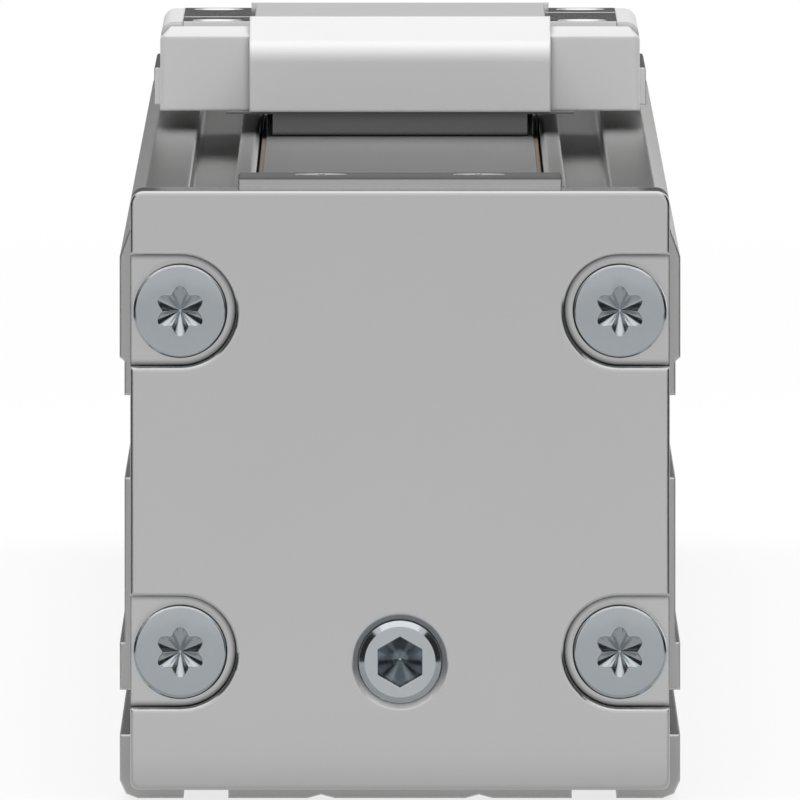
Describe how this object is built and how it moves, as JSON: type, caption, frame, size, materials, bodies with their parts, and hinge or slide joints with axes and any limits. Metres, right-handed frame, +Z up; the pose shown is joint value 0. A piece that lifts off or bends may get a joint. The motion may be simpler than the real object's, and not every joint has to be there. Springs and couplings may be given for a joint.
{
  "type": "electric linear actuator",
  "caption": "Electric slide axis: a ball screw in an extruded aluminium profile drives a flat slide on top, with a steel cover strip, a plain end cap and a shaft at the drive end.",
  "frame": {"origin": "below the middle of the whole axis, level with the underside of the profile", "axes": "+Y runs along the axis from the plain end to the drive end, +X is right seen from the plain end, +Z is up through the slide"},
  "size_m": [0.0624, 0.556, 0.0809],
  "materials": {
    "anodised_aluminium": "anodised, satin",
    "cap_aluminium": "die-cast, powder coated grey",
    "slide_aluminium": "milled and anodised",
    "cover_aluminium": "anodised, satin",
    "zinc_steel": "zinc plated",
    "bright_steel": "ground",
    "strip_steel": "stainless, fine brushed",
    "plug_steel": "nickel plated",
    "white_plastic": "moulded, satin",
    "dark_plastic": "moulded, matte",
    "runner_plastic": "moulded, matte",
    "magnet": "plastic-bonded magnet, brown",
    "bumper_rubber": "matte"
  },
  "bodies": {
    "base": {"profile": "anodised_aluminium", "front_end_cap": "cap_aluminium", "front_cap_screws": "zinc_steel", "vent_plug": "plug_steel", "drive_block": "cap_aluminium", "drive_block_screws": "zinc_steel", "bearing_retainer": "slide_aluminium", "retainer_screws": "zinc_steel", "front_bearing_outer": "bright_steel", "fixed_bearing_outer": "bright_steel", "front_bumper": "bumper_rubber", "rear_bumper": "bumper_rubber", "guide_rail": "bright_steel", "rail_screws": "zinc_steel", "cover_strip": "strip_steel", "magnet_strip_left": "magnet", "magnet_strip_right": "magnet", "strip_clamp_front": "slide_aluminium", "strip_anchor_front": "dark_plastic", "strip_clamp_rear": "slide_aluminium", "strip_anchor_rear": "dark_plastic", "strip_clamp_screws": "zinc_steel"},
    "slide": {"slide_body": "slide_aluminium", "strip_cover": "cover_aluminium", "front_slide_cap": "white_plastic", "rear_slide_cap": "white_plastic", "front_strip_guide": "dark_plastic", "rear_strip_guide": "dark_plastic", "carriage": "slide_aluminium", "runner_screws": "zinc_steel", "neck_screws": "zinc_steel", "ball_nut": "bright_steel", "runner_block": "bright_steel", "runner_cap_front": "runner_plastic", "runner_cap_rear": "runner_plastic"},
    "spindle": {"ball_screw": "bright_steel", "lock_nut": "zinc_steel", "fixed_bearing_inner": "bright_steel", "fixed_bearing_balls": "bright_steel", "front_bearing_inner": "bright_steel", "front_bearing_balls": "bright_steel"}
  },
  "joints": [
    {"name": "slide_travel", "type": "slide", "parent": "base", "child": "slide", "axis": [0, 1, 0], "range_m": [-0.14295, 0.25705], "deforming": ["cover_strip"]},
    {"name": "spindle_spin", "type": "hinge", "parent": "base", "child": "spindle", "pos_m": [0, 0, 0.0456], "axis": [0, 1, 0], "range_deg": [-9255, 5148]}
  ],
  "couplings": [
    {"joint": "spindle_spin", "follows": "slide_travel", "rad_per_m": -628.32}
  ]
}
